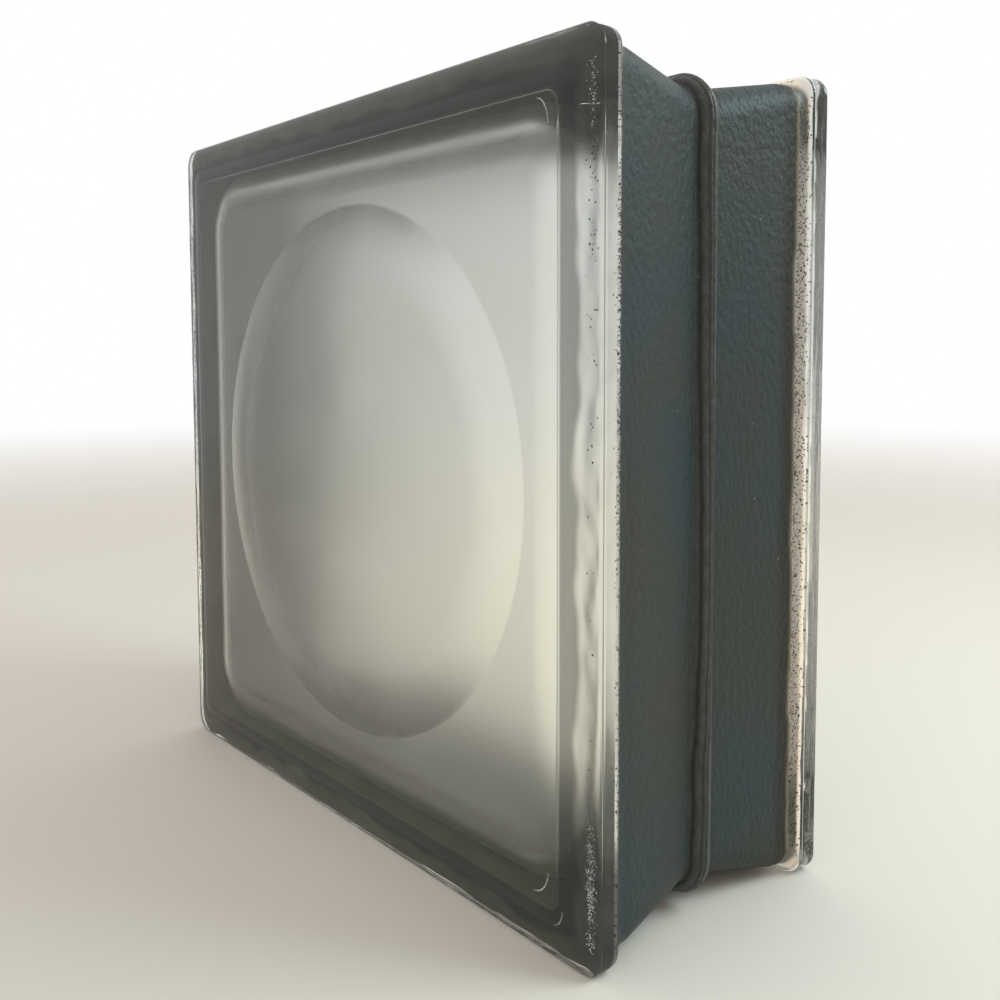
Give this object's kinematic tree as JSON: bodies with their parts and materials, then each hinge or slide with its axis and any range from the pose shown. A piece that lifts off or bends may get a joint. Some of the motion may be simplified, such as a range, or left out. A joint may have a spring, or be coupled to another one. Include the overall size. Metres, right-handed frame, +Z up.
{
  "type": "glass block",
  "caption": "Square hollow glass building block of fused pressed halves, with satin smoke-grey faces, a round dish inside each face and a dark coated mortar channel round its waist.",
  "frame": {"origin": "centre of the edge that the block stands on, midway between its faces", "axes": "+X along the face, +Y through the block from the front face to the back face, +Z up"},
  "size_m": [0.197, 0.079, 0.197],
  "materials": {
    "smoke_glass": "smoke-grey soda-lime glass, satin on the faces and bright on the rims",
    "grey_coating": "matte dark grey sprayed coating with an orange-peel grain"
  },
  "bodies": {
    "root": {"front_half": "smoke_glass", "back_half": "smoke_glass", "side_coating": "grey_coating"}
  },
  "joints": []
}
